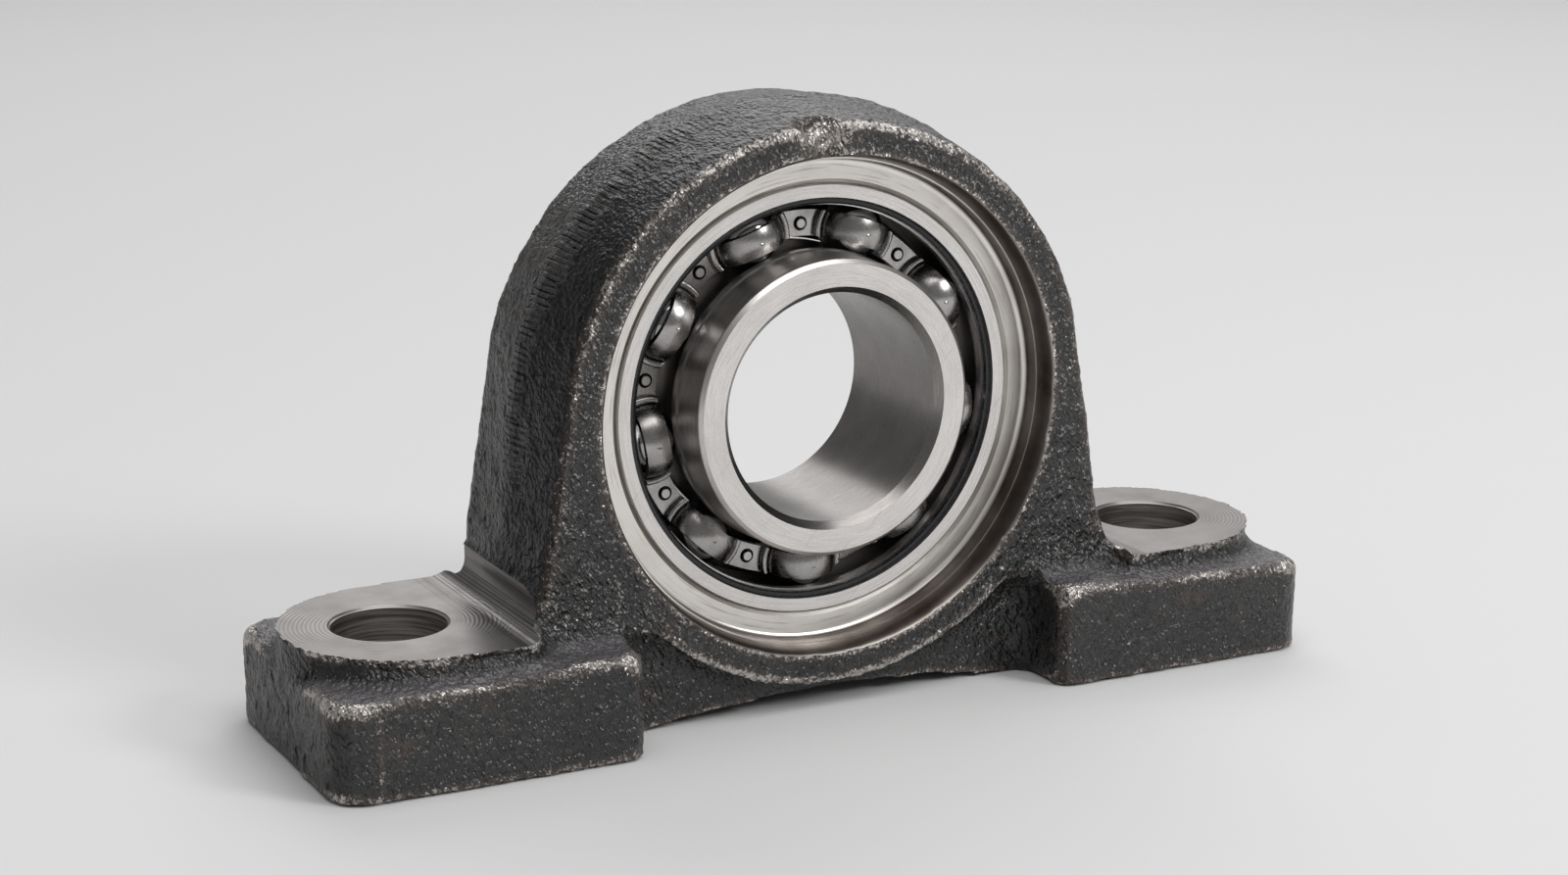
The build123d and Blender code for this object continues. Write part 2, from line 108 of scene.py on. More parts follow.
def link(obj):
    """Put a new object in the scene."""
    bpy.context.scene.collection.objects.link(obj)
    return obj


def make_camera():
    """Camera at the photograph's viewing angle."""
    turn = math.radians(CAMERA_TURN_DEG)
    rise = math.radians(CAMERA_RISE_DEG)
    roll = math.radians(CAMERA_ROLL_DEG)
    forward = Vector((math.sin(turn) * math.cos(rise), math.cos(turn) * math.cos(rise), -math.sin(rise)))
    level_right = Vector((math.cos(turn), -math.sin(turn), 0.0))
    level_up = level_right.cross(forward)
    right = level_right * math.cos(roll) + level_up * math.sin(roll)
    up = level_up * math.cos(roll) - level_right * math.sin(roll)
    target = Vector((0.0, 0.0, AIM_HEIGHT)) + right * AIM_RIGHT
    data = bpy.data.cameras.new("camera")
    data.sensor_width = SENSOR_WIDTH
    data.lens = FOCAL_PX / IMAGE_WIDTH * SENSOR_WIDTH
    data.clip_start = CLIP_START
    data.clip_end = CLIP_END
    camera = link(bpy.data.objects.new("camera", data))
    turned = Matrix((right, up, -forward)).transposed().to_4x4()
    camera.matrix_world = Matrix.Translation(target - forward * CAMERA_DISTANCE) @ turned
    bpy.context.scene.camera = camera


# Materials

class Nodes:
    """A material with short calls that add its nodes."""

    def __init__(self, name):
        self.material = bpy.data.materials.new(name)
        self.material.use_nodes = True
        self.tree = self.material.node_tree
        self.shader = self.tree.nodes["Principled BSDF"]
        self.coords = self.tree.nodes.new("ShaderNodeTexCoord").outputs["Object"]

    def add(self, kind, inputs=None, **settings):
        node = self.tree.nodes.new(kind)
        for key, value in settings.items():
            setattr(node, key, value)
        for key, value in (inputs or {}).items():
            self.feed(node.inputs[key], value)
        return node

    def feed(self, socket, value):
        """Link a socket to another, or set its value."""
        if isinstance(value, bpy.types.NodeSocket):
            self.tree.links.new(value, socket)
        else:
            socket.default_value = value

    def set(self, **values):
        """Set the shader's own inputs, named with _ for each space."""
        for key, value in values.items():
            self.feed(self.shader.inputs[key.replace("_", " ")], value)

    def math(self, operation, a, b=0.0, c=0.0, clamp=False):
        node = self.add("ShaderNodeMath", {0: a, 1: b, 2: c}, operation=operation, use_clamp=clamp)
        return node.outputs[0]

    def noise(self, scale, detail=3.0, rough=0.55, vector=None):
        """Noise with scale in waves per metre."""
        node = self.add("ShaderNodeTexNoise", {
            "Vector": vector or self.coords, "Scale": scale, "Detail": detail, "Roughness": rough})
        return node.outputs["Fac"]

    def ramp(self, value, low, high, out_low=0.0, out_high=1.0):
        """out_low at low and beyond it, rising or falling evenly to out_high at high."""
        node = self.add("ShaderNodeMapRange", {
            "Value": value, "From Min": low, "From Max": high, "To Min": out_low, "To Max": out_high})
        return node.outputs["Result"]

    def mix(self, share, a, b):
        """Colour a, turning into b as share goes from 0 to 1."""
        node = self.add("ShaderNodeMix", {"Factor": share}, data_type="RGBA")
        self.feed(node.inputs[6], a)
        self.feed(node.inputs[7], b)
        return node.outputs[2]

    def split(self, vector=None):
        node = self.add("ShaderNodeSeparateXYZ", {0: vector or self.coords})
        return node.outputs["X"], node.outputs["Y"], node.outputs["Z"]

    def join(self, x, y, z):
        return self.add("ShaderNodeCombineXYZ", {0: x, 1: y, 2: z}).outputs[0]

    def stretch(self, x, y, z, turn_y=0.0):
        """Coordinates turned about Y, then stretched: waves per metre along each axis."""
        turned = self.add("ShaderNodeMapping", {"Vector": self.coords, "Rotation": (0.0, turn_y, 0.0)})
        node = self.add("ShaderNodeMapping", {"Vector": turned.outputs[0], "Scale": (x, y, z)})
        return node.outputs[0]

    def facing_shaft(self):
        """1 on faces square to the shaft, 0 on faces turned about it."""
        normal = self.tree.nodes.new("ShaderNodeTexCoord").outputs["Normal"]
        along = self.math("ABSOLUTE", self.split(normal)[1])
        return self.ramp(along, 0.55, 0.9)

    def times(self, *values):
        total = values[0]
        for value in values[1:]:
            total = self.math("MULTIPLY", total, value)
        return total

    def plus(self, *values):
        total = values[0]
        for value in values[1:]:
            total = self.math("ADD", total, value)
        return total

    def band(self, value, low, high, edge):
        """1 between low and high, falling to 0 over edge on both sides."""
        return self.times(self.ramp(value, low - edge, low), self.ramp(value, high + edge, high))

    def attribute(self, name):
        """A mark that surface_marks put on the mesh."""
        return self.add("ShaderNodeAttribute", attribute_name=name).outputs["Fac"]

    def bump(self, height, distance, strength=1.0):
        inputs = {"Height": height, "Distance": distance, "Strength": strength}
        return self.add("ShaderNodeBump", inputs).outputs["Normal"]


def colour(red, green, blue):
    return (red, green, blue, 1.0)


def shaft_polar(n):
    """Radius from the shaft axis and angle about it, for rings turned on a lathe."""
    x, y, z = n.split()
    up = n.math("SUBTRACT", z, AXIS_Z)
    radius = n.math("SQRT", n.math("ADD", n.math("MULTIPLY", x, x), n.math("MULTIPLY", up, up)))
    angle = n.math("ARCTAN2", up, x)
    return radius, angle, y


# Heights and depths between which the cast skin changes: onto the arch, across the parting line,
# down to the feet, down to the rusty base, and up to the arch's top
ARCH_START_Z = (28.0 * MM, 36.0 * MM)
PARTING_Y = (1.0 * MM, 2.5 * MM)
FEET_Z = (50.0 * MM, 30.0 * MM)
RUST_Z = (40.0 * MM, 5.0 * MM)
ARCH_TOP_Z = (60.0 * MM, 90.0 * MM)


def cast_iron():
    """Rough cast skin: dark, grainy, with burnished high points, worn edges and casting marks, and with
    painted shade in hollows and on side faces and a painted sheen on faces turned up.
    """
    n = Nodes("cast_iron_skin")
    wear = n.attribute("wear")
    cavity = n.attribute("cavity")
    fleck = n.attribute("fleck")
    side = n.attribute("side")
    top = n.attribute("top")
    _, y, z = n.split()
    broad = n.noise(55.0, 3.0)
    lumps = n.noise(330.0, 1.0, 0.5)
    pebbles = n.noise(820.0, 1.0, 0.5)
    grain = n.noise(1250.0, 1.0, 0.5)
    fine = n.noise(2300.0, 2.0, 0.6)
    hatch = n.noise(1.0, 1.0, 0.5, vector=n.stretch(1500.0, 900.0, 560.0, 0.6))
    streak = n.noise(1.0, 2.0, 0.55, vector=n.stretch(800.0, 800.0, 330.0))

    # Dark skin, paler where it faces up and on side faces behind the parting line: a painted sheen on
    # faces turned up, and painted shade on side faces, darkest in front of the parting line
    tone = n.mix(n.ramp(broad, 0.35, 0.65), colour(0.013, 0.0126, 0.0126), colour(0.021, 0.0198, 0.0192))
    # Side faces painted dark in front of the parting line and paler behind it: painted shade and painted
    # light
    on_arch = n.ramp(z, *ARCH_START_Z)
    behind = n.plus(n.times(n.ramp(y, *PARTING_Y), on_arch), n.ramp(on_arch, 0.0, 1.0, 0.5, 0.0))
    painted_side_shading = n.mix(behind, colour(0.009, 0.009, 0.010), colour(0.040, 0.036, 0.034))
    tone = n.mix(side, tone, painted_side_shading)
    # Faces turned up over the feet are painted paler: a painted sheen
    on_feet = n.ramp(z, *FEET_Z, 0.15, 0.8)
    tone = n.mix(n.times(top, on_feet), tone, colour(0.105, 0.098, 0.105))

    # Comb strokes on paler ground, long dents, and hollows painted dark as painted shade
    comb_zone, stroke = comb_marks(n)
    comb = n.times(comb_zone, stroke)
    tone = n.mix(n.times(comb_zone, 0.8), tone, colour(0.055, 0.050, 0.048))
    dents = n.times(n.plus(n.times(side, 0.85), 0.15), n.ramp(streak, 0.40, 0.31))
    dark = n.math("MAXIMUM", n.math("MAXIMUM", dents, comb), n.times(cavity, 0.8), clamp=True)
    tone = n.mix(dark, tone, colour(0.003, 0.003, 0.003))

    # Bright flecks where the grain stands high
    points = n.plus(n.times(fine, 0.45), n.times(hatch, 0.30), n.times(grain, 0.25))
    patchy = n.ramp(n.noise(190.0, 3.0), 0.35, 0.65)
    high = n.ramp(n.plus(points, n.times(patchy, 0.03)), 0.575, 0.65)
    flecks = n.times(high, fleck)
    skin = n.mix(n.times(flecks, 0.9), tone, colour(0.46, 0.44, 0.42))

    # A little rust below, and edges rubbed brown, then bright
    rust = n.times(n.ramp(n.noise(120.0, 4.0, 0.7), 0.60, 0.72), n.ramp(z, *RUST_Z))
    skin = n.mix(n.times(rust, 0.45), skin, colour(0.13, 0.075, 0.045))
    brown = n.times(n.ramp(wear, 0.05, 0.5), 0.45)
    skin = n.mix(brown, skin, colour(0.085, 0.064, 0.050))
    patch = n.ramp(n.noise(75.0, 3.0), 0.40, 0.62, 0.72, 1.0)
    rub = n.plus(
        n.times(wear, patch, 0.72), n.times(fine, 0.8), n.times(grain, 0.7), n.times(lumps, 0.45))
    rubbed = n.ramp(rub, 1.30, 1.48)
    skin = n.mix(n.times(rubbed, 0.85), skin, colour(0.62, 0.582, 0.548))
    bright = n.math("MAXIMUM", n.times(flecks, 0.85), n.times(rubbed, 0.85), clamp=True)
    n.set(Base_Color=skin, Metallic=bright)
    n.set(Roughness=n.ramp(lumps, 0.3, 0.7, 0.36, 0.27))

    # Less gloss on the side faces, in the marks and on top, then the relief
    front_side = n.times(side, n.ramp(behind, 0.0, 1.0, 0.75, 0.45))
    dull = n.math("MAXIMUM", front_side, n.times(top, n.ramp(z, *ARCH_TOP_Z), 0.5))
    n.set(Specular_IOR_Level=n.ramp(n.math("MAXIMUM", dark, dull), 0.0, 1.0, 0.72, 0.08))
    height = n.plus(
        n.times(lumps, 0.70), n.times(pebbles, 0.64), n.times(grain, 0.26), n.times(hatch, 0.62))
    height = n.times(height, n.ramp(n.math("MAXIMUM", side, dull), 0.0, 1.0, 0.95, 0.50))
    height = n.math("SUBTRACT", height, n.times(dents, 0.45))
    height = n.math("SUBTRACT", height, n.times(comb, 0.5))
    n.set(Normal=n.bump(height, 1.25 * MM))
    return n.material


# Comb strokes: angles about the shaft, depths along it and distance from it
COMB_SPAN = (math.radians(114), math.radians(182))
COMB_LOW_END = (math.radians(165), math.radians(176))
COMB_TAPER = (math.radians(150), math.radians(175))
COMB_FRONT_Y = (-2.5 * MM, 0.5 * MM)
COMB_REAR_Y = (5.6 * MM, 4.6 * MM)
COMB_R = (50.0 * MM, 54.0 * MM)
COMB_RAGGED = 6.0 * MM
COMB_EDGE = 0.6 * MM


def comb_marks(n):
    """Short parallel strokes on the left of the arch, just in front of the parting line."""
    radius, angle, y = shaft_polar(n)
    along_arch = n.times(angle, 2.0 * ARCH_R / COMB_PITCH)
    across_arch = n.join(along_arch, n.times(y, 110.0), n.times(radius, 110.0))
    scratch = n.noise(1.0, 1.0, 0.5, vector=across_arch)
    wobble = n.times(n.noise(110.0, 2.0), 5.0)
    wave = n.math("SINE", n.plus(n.times(angle, 2 * math.pi * ARCH_R / COMB_PITCH), wobble))
    stroke = n.times(n.ramp(wave, -0.05, 0.45), n.ramp(scratch, 0.62, 0.45, 0.5, 1.0))
    ragged = n.plus(y, n.times(n.noise(1.0, 1.0, vector=n.stretch(450.0, 20.0, 450.0)), COMB_RAGGED))
    reach = n.ramp(angle, *COMB_TAPER, *COMB_FRONT_Y)
    front = n.ramp(n.math("SUBTRACT", ragged, reach), -COMB_EDGE, COMB_EDGE)
    across = n.times(front, n.ramp(ragged, *COMB_REAR_Y))
    along = n.band(angle, *COMB_SPAN, 0.12)
    below = n.ramp(n.math("SUBTRACT", 0.0, angle), *COMB_LOW_END)
    zone = n.times(across, n.math("MAXIMUM", along, below), n.ramp(radius, *COMB_R))
    return zone, stroke


def turned_iron():
    """Faces turned on a lathe: fine rings about the shaft axis, with the walls painted dark, a painted
    shade.
    """
    n = Nodes("turned_iron")
    radius, angle, y = shaft_polar(n)
    flat = n.facing_shaft()
    lines = n.join(n.times(radius, 2600.0), n.times(y, 2600.0), n.times(angle, 5.0))
    coarse = n.noise(1.0, 2.0, vector=lines)
    fine_lines = n.join(n.times(radius, 9000.0), n.times(y, 9000.0), n.times(angle, 9.0))
    fine = n.noise(1.0, 2.0, vector=fine_lines)
    cloud = n.noise(85.0, 4.0)
    # Walls painted dark against the light faces of the same turned iron: painted shade
    face = n.mix(n.ramp(cloud, 0.45, 0.75), colour(0.86, 0.83, 0.785), colour(0.72, 0.67, 0.61))
    wall = n.mix(n.ramp(cloud, 0.35, 0.65), colour(0.19, 0.168, 0.152), colour(0.08, 0.064, 0.055))
    base = n.mix(flat, wall, face)
    base = n.mix(n.times(n.ramp(coarse, 0.42, 0.30), 0.35), base, colour(0.16, 0.145, 0.13))
    n.set(Base_Color=base, Metallic=1.0, Roughness=n.ramp(fine, 0.2, 0.8, 0.28, 0.42))
    n.set(Normal=n.bump(n.plus(n.times(coarse, 0.7), n.times(fine, 0.5)), 0.03 * MM, 0.6))
    return n.material


# Milled pads: cutter rings, along X from the hole and by height, then the rounded corner,
# its upright wall and the hole's wall
RINGS_OUTER_X = (-6.0 * MM, 8.0 * MM)
RINGS_INNER_X = (-11.0 * MM, -15.0 * MM)
RINGS_Z = (PAD_Z + 1.2 * MM, PAD_Z + 0.4 * MM)
CORNER_X = (MILL_WALL_X + 10.0 * MM, MILL_WALL_X + 5.0 * MM)
UPRIGHT_Z = (PAD_Z + 1.0 * MM, PAD_Z + 4.5 * MM)
HOLE_WALL_R = (BOLT_R + 0.9 * MM, BOLT_R + 0.3 * MM)
HOLE_WALL_Z = (PAD_Z, PAD_Z - 0.6 * MM)


def milled_iron():
    """Bolt pads: rings from the cutter, straight lines in the rounded corner, streaked hole walls."""
    n = Nodes("milled_iron")
    x, y, z = n.split()
    from_hole = n.math("SUBTRACT", n.math("ABSOLUTE", x), BOLT_X)
    radius = n.math("SQRT", n.plus(n.times(from_hole, from_hole), n.times(y, y)))
    rings = n.math("SINE", n.plus(n.times(radius, 7600.0), n.times(n.noise(60.0, 2.0), 2.0)))
    outer_end = n.ramp(from_hole, *RINGS_OUTER_X)
    inner_end = n.ramp(from_hole, *RINGS_INNER_X, 0.0, 0.5)
    ends = n.math("MAXIMUM", outer_end, inner_end)
    outer = n.times(ends, n.ramp(z, *RINGS_Z))
    along = n.plus(n.math("ABSOLUTE", x), n.times(z, -1.0))
    lines = n.noise(1.0, 1.0, 0.5, vector=n.join(n.times(along, 1900.0), n.times(y, 9.0), 0.0))
    in_corner = n.ramp(n.math("ABSOLUTE", x), *CORNER_X)
    in_hole = n.times(n.ramp(radius, *HOLE_WALL_R), n.ramp(z, *HOLE_WALL_Z))
    down_hole = n.join(n.times(x, 60.0), n.times(y, 60.0), n.times(z, 2200.0))
    bore_lines = n.noise(1.0, 2.0, 0.6, vector=down_hole)
    cloud = n.noise(120.0, 4.0)
    base = n.mix(n.ramp(cloud, 0.4, 0.7), colour(0.27, 0.256, 0.249), colour(0.215, 0.202, 0.195))
    corner = n.mix(n.ramp(lines, 0.44, 0.56), colour(0.06, 0.053, 0.05), colour(0.38, 0.36, 0.345))
    # The upright wall of the milled corner is painted darker: painted shade
    upright = n.ramp(z, *UPRIGHT_Z)
    base = n.mix(n.times(in_corner, n.ramp(lines, 0.58, 0.44), 0.8), base, corner)
    base = n.mix(n.times(upright, 0.7), base, colour(0.15, 0.135, 0.128))
    hole = n.mix(n.ramp(bore_lines, 0.40, 0.62), colour(0.30, 0.275, 0.26), colour(0.72, 0.69, 0.67))
    base = n.mix(in_hole, base, hole)
    ring_shade = n.times(n.ramp(rings, 0.2, -0.7), outer, 0.65)
    base = n.mix(ring_shade, base, colour(0.14, 0.13, 0.12))
    n.set(Base_Color=base, Metallic=1.0, Roughness=n.ramp(cloud, 0.3, 0.7, 0.32, 0.42))
    wave = n.plus(
        n.times(rings, outer, 0.5), n.times(lines, in_corner, 1.6), n.times(bore_lines, in_hole, 1.5))
    n.set(Normal=n.bump(wave, 0.05 * MM, 0.8))
    return n.material


# The inner ring's bore ends and its neck starts between these distances from the shaft's axis
NECK_R = (BORE_R + 2.5 * MM, BORE_R + 3.5 * MM)


def ring_steel():
    """Ground rings: light satin faces and neck, a bore painted darker as painted shade, fine scratches.
    """
    n = Nodes("ground_ring_steel")
    radius, angle, y = shaft_polar(n)
    flat = n.facing_shaft()
    lines = n.join(n.times(radius, 5200.0), n.times(y, 5200.0), n.times(angle, 6.0))
    fine = n.noise(1.0, 3.0, vector=lines)
    swirl = n.noise(1.0, 2.0, vector=n.stretch(4200.0, 4200.0, 300.0, 0.5))
    scratch = n.ramp(n.noise(1.0, 1.0, vector=n.stretch(2600.0, 500.0, 60.0, -0.7)), 0.70, 0.76)
    cloud = n.noise(70.0, 3.0)
    face = n.mix(n.ramp(cloud, 0.35, 0.7), colour(0.80, 0.77, 0.75), colour(0.72, 0.69, 0.67))
    face = n.mix(n.times(n.ramp(fine, 0.40, 0.62), 0.30), face, colour(0.50, 0.48, 0.46))
    face = n.mix(n.times(scratch, 0.35), face, colour(0.36, 0.34, 0.33))
    # The bore is painted darker than the faces and neck of the same steel: painted shade
    bore = n.mix(n.ramp(cloud, 0.35, 0.7), colour(0.23, 0.218, 0.21), colour(0.17, 0.158, 0.152))
    outside = n.ramp(radius, *NECK_R)
    neck = n.mix(n.ramp(cloud, 0.35, 0.7), colour(0.74, 0.71, 0.685), colour(0.60, 0.575, 0.555))
    wall = n.mix(outside, bore, neck)
    wall = n.mix(n.times(n.ramp(fine, 0.40, 0.65), 0.35), wall, colour(0.13, 0.118, 0.112))
    n.set(Base_Color=n.mix(flat, wall, face), Metallic=1.0)
    on_neck = n.times(outside, n.math("SUBTRACT", 1.0, flat))
    n.set(Roughness=n.plus(n.ramp(fine, 0.2, 0.8, 0.22, 0.34), n.times(on_neck, 0.12)))
    n.set(Normal=n.bump(n.plus(fine, n.times(swirl, 0.5)), 0.008 * MM, 0.5))
    return n.material


# Painted shade round each rivet: its reach from the rivet's middle and from the bearing's mid-plane
RIVET_SHADE_R = (1.7 * MM, 1.5 * MM)
RIVET_SHADE_DEPTH = (0.99 * MM, 0.93 * MM)


def cage_steel():
    """Stamped cage: satin lands, domes painted darker as painted shade, and painted shade round each
    rivet.
    """
    n = Nodes("stamped_cage_steel")
    flat = n.facing_shaft()
    cloud = n.noise(260.0, 4.0)
    fine = n.noise(2600.0, 3.0)
    # Domes are painted darker than the lands of the same steel: painted shade
    land = n.mix(n.ramp(cloud, 0.35, 0.7), colour(0.46, 0.445, 0.435), colour(0.36, 0.345, 0.335))
    dome = n.mix(n.ramp(cloud, 0.40, 0.65), colour(0.30, 0.29, 0.285), colour(0.17, 0.163, 0.158))
    radius, angle, y = shaft_polar(n)
    # Painted shade round each rivet, darkening the cage close to it
    past_rivet = n.plus(angle, 4 * math.pi - RIVET_ANGLE + RIVET_STEP / 2)
    turn = n.math("SUBTRACT", n.math("MODULO", past_rivet, RIVET_STEP), RIVET_STEP / 2)
    aside = n.times(turn, RIVET_CIRCLE_R)
    inward = n.math("SUBTRACT", radius, RIVET_CIRCLE_R)
    from_rivet = n.math("SQRT", n.plus(n.times(aside, aside), n.times(inward, inward)))
    depth = n.math("ABSOLUTE", n.math("SUBTRACT", y, BEARING_MID_Y))
    rivet_shade = n.times(n.ramp(from_rivet, *RIVET_SHADE_R), n.ramp(depth, *RIVET_SHADE_DEPTH))
    skin = n.mix(rivet_shade, n.mix(flat, dome, land), colour(0.02, 0.018, 0.016))
    n.set(Base_Color=skin, Metallic=1.0)
    n.set(Roughness=n.ramp(n.plus(n.times(fine, 0.5), n.times(cloud, 0.5)), 0.35, 0.65, 0.20, 0.33))
    n.set(Normal=n.bump(n.plus(n.times(cloud, 0.7), n.times(fine, 0.15)), 0.05 * MM, 0.3))
    return n.material


def ball_steel():
    """Polished balls with a faint cloud."""
    n = Nodes("polished_ball_steel")
    cloud = n.noise(300.0, 2.0)
    n.set(Base_Color=n.mix(cloud, colour(0.40, 0.40, 0.40), colour(0.34, 0.34, 0.345)))
    n.set(Metallic=1.0, Roughness=n.ramp(cloud, 0.3, 0.7, 0.07, 0.12))
    return n.material


def rivet_steel():
    """Rivets: satin ends, sides painted dark as painted shade."""
    n = Nodes("rivet_steel")
    cloud = n.noise(900.0, 3.0)
    end = n.mix(cloud, colour(0.62, 0.61, 0.60), colour(0.48, 0.47, 0.46))
    # Sides painted dark against the light ends of the same steel: painted shade
    n.set(Base_Color=n.mix(n.facing_shaft(), colour(0.06, 0.055, 0.05), end))
    n.set(Metallic=1.0, Roughness=0.32, Normal=n.bump(cloud, 0.03 * MM, 0.4))
    return n.material


def seal_black():
    """Smooth black of the front ring and the rear shield."""
    n = Nodes("black_ring")
    cloud = n.noise(500.0, 3.0)
    n.set(Base_Color=n.mix(cloud, colour(0.012, 0.012, 0.014), colour(0.022, 0.022, 0.025)))
    n.set(Roughness=n.ramp(cloud, 0.3, 0.7, 0.22, 0.34))
    return n.material


# Mesh helpers

def mesh_object(name, vertices, faces):
    """A new object from vertices and faces."""
    mesh = bpy.data.meshes.new(name)
    mesh.from_pydata([tuple(v) for v in vertices], [], faces)
    mesh.update()
    return link(bpy.data.objects.new(name, mesh))


def turned_solid(name, profile, steps, place):
    """A closed solid with flat ends, from (radius, distance along the axis) points.

    place turns two offsets square to the axis and a distance along it into a vertex.
    """
    count = len(profile)
    vertices = []
    for step in range(steps):
        turn = 2 * math.pi * step / steps
        for radius, along in profile:
            vertices.append(place(radius * math.cos(turn), radius * math.sin(turn), along))
    faces = []
    for step in range(steps):
        here = step * count
        there = (step + 1) % steps * count
        for i in range(count - 1):
            faces.append((here + i, there + i, there + i + 1, here + i + 1))
    faces.append([step * count for step in range(steps)][::-1])
    faces.append([step * count + count - 1 for step in range(steps)])
    obj = mesh_object(name, vertices, faces)
    fix_normals(obj)
    return obj


def lathe(name, profile, steps=256):
    """A solid turned about the shaft axis, from (radius, y) points."""
    return turned_solid(name, profile, steps, lambda a, b, y: (a, y, AXIS_Z + b))


def upright_lathe(name, x, profile, steps=96):
    """A solid turned about an upright line at x, from (radius, z) points."""
    return turned_solid(name, profile, steps, lambda a, b, z: (x + a, b, z))


def fix_normals(obj):
    """Turn every face of a closed solid outwards."""
    work = bmesh.new()
    work.from_mesh(obj.data)
    bmesh.ops.recalc_face_normals(work, faces=work.faces)
    work.to_mesh(obj.data)
    work.free()


def arc(centre, radius, start_deg, end_deg, steps=8):
    """Points on an arc, both ends included."""
    points = []
    for step in range(steps + 1):
        turn = math.radians(start_deg + (end_deg - start_deg) * step / steps)
        points.append((centre[0] + radius * math.cos(turn), centre[1] + radius * math.sin(turn)))
    return points


def prism(name, outline, low_y, high_y):
    """A solid with an (x, z) outline, between two y values."""
    count = len(outline)
    vertices = [(x, low_y, z) for x, z in outline] + [(x, high_y, z) for x, z in outline]
    faces = [tuple(range(count)), tuple(range(2 * count - 1, count - 1, -1))]
    for i in range(count):
        after = (i + 1) % count
        faces.append((i, i + count, after + count, after))
    obj = mesh_object(name, vertices, faces)
    fix_normals(obj)
    return obj


def bake(obj):
    """Apply the object's modifiers to its mesh."""
    bpy.context.view_layer.update()
    made = bpy.data.meshes.new_from_object(obj.evaluated_get(bpy.context.evaluated_depsgraph_get()))
    obj.modifiers.clear()
    old = obj.data
    obj.data = made
    bpy.data.meshes.remove(old)


def remove(*objects):
    """Delete helper objects."""
    for obj in objects:
        bpy.data.objects.remove(obj)


# Housing

VOXEL = 0.9 * MM
SHARP_ANGLE = math.radians(35)
# Inside corners are rounded this many times, fully where they lie this deep
CREASE_ROUNDS = 25
CREASE_HOLLOW = 0.02 * MM
# Plugs that fill the bore and the bolt holes before the skin is made
BORE_PLUG_MARGIN = 4.0 * MM
BORE_PLUG_STEPS = 128
HOLE_PLUG_MARGIN = 2.0 * MM
HOLE_PLUG_LOW = 3.0 * MM
# Metal that the mill takes off: how high the hole plugs stand, and how far pads and corners are raised
STOCK = 1.0 * MM
PAD_STOCK = 0.8 * MM
STOCK_FADE = (0.5 * MM, 1.6 * MM)
WALL_STOCK_FADE = 1.5 * MM
STOCK_MARGIN_X = 2.0 * MM
# How far the cutters reach past what they cut
CUT_OVERRUN = 5.0 * MM
MILL_OVERRUN = 10.0 * MM
MILL_CLEARANCE = 6.0 * MM
MILL_REACH_Y = 45.0 * MM
BASE_CUT_OVERRUN = 20.0 * MM
BASE_CUT_DEPTH = 20.0 * MM
BASE_CUT_REACH_Y = 60.0 * MM
# Machined faces this close to an axis direction, and to the pads' height, are shaded flat
FLAT_LIMIT = 0.99999
PAD_TOLERANCE = 0.1 * MM
# Chips in millimetres: middle, half sizes, depth, then the direction pushed in
CHIPS = [
    ((-4.0, -18.5, 115.0), (5.0, 4.5, 4.5), 2.8, (0.1, 0.6, -0.8)),
    ((-2.0, -18.5, 110.5), (3.5, 3.5, 4.5), 2.0, (0.0, 1.0, 0.0)),
    ((-7.5, -17.0, 115.8), (2.2, 3.0, 2.2), 0.9, (0.0, 0.4, -0.9)),
]
# Share of a chip's half sizes that is pushed in to its full depth
CHIP_CORE = 0.35
# Rubbed bright round the chips: middle and half sizes in millimetres
SCAR_MIDDLE = (-3.0, -18.5, 113.0)
SCAR_SIZE = (6.0, 5.0, 4.0)
# On the arch, edges wear most beside the chips
CHIP_WEAR_X = 4.0 * MM
CHIP_WEAR_REACH = 26.0 * MM
# Averaged bulge at which an edge starts to wear or a hollow to take painted shade, and is fully so
WORN_BULGE = (0.016 * MM, 0.058 * MM)
HOLLOW_SHADE_BULGE = (0.012 * MM, 0.06 * MM)
# Edges wear less within this distance of the parting line, and near the ground
PARTING_BAND_Y = 8.0 * MM
GROUND_Z = (2.0 * MM, 8.0 * MM)
# Bright ring round the recess, on the hub's front and rear only
RIM_WIDTH = 0.9 * MM
RIM_Y = 15.0 * MM
# Bright upright line on the front left foot, beside its rounded corner
CORNER_LINE_X = -97.5 * MM
CORNER_LINE_Y = -28.0 * MM
CORNER_LINE_WIDTH = 0.8 * MM
# Flecks are dense on the hub's faces, and thin out towards the base
HUB_FADE_Y = (0.0, 1.0 * MM)
HUB_MARGIN_Y = 3.0 * MM
HUB_FADE_Z = (8.0 * MM, 24.0 * MM)
# Cast skin: waves per metre, and heights in millimetres
BROAD_WAVES = 70.0
BROAD_SMOOTHNESS = 0.9
BROAD_LACUNARITY = 2.0
BROAD_OCTAVES = 3
BROAD_HEIGHT = 0.26
LUMP_WAVES = 330.0
LUMP_HEIGHT = 0.19
GRAIN_WAVES = 700.0
GRAIN_HEIGHT = 0.16
# Fold on the left end as (y, z) in millimetres, its groove, and the step that falls away from it
FOLD_LINE = [(6.0, 15.0), (3.4, 11.8), (-0.5, 9.9), (-4.8, 7.1), (-7.7, 2.7)]
FOLD_END_DEPTH = 3.0 * MM
FOLD_DEPTH = 0.55
FOLD_WIDTH = 0.8 * MM
FOLD_STEP = 0.30
FOLD_STEP_REACH = 4.0 * MM
# Flash on the front as (x, z) in millimetres
FLASH_LINE = [(-36.9, 26.4), (-32.7, 24.1), (-31.8, 22.0), (-35.0, 20.4), (-40.0, 18.6)]
FLASH_MAX_Y = -15.0 * MM
FLASH_HEIGHT = 0.35
FLASH_WIDTH = 0.7 * MM


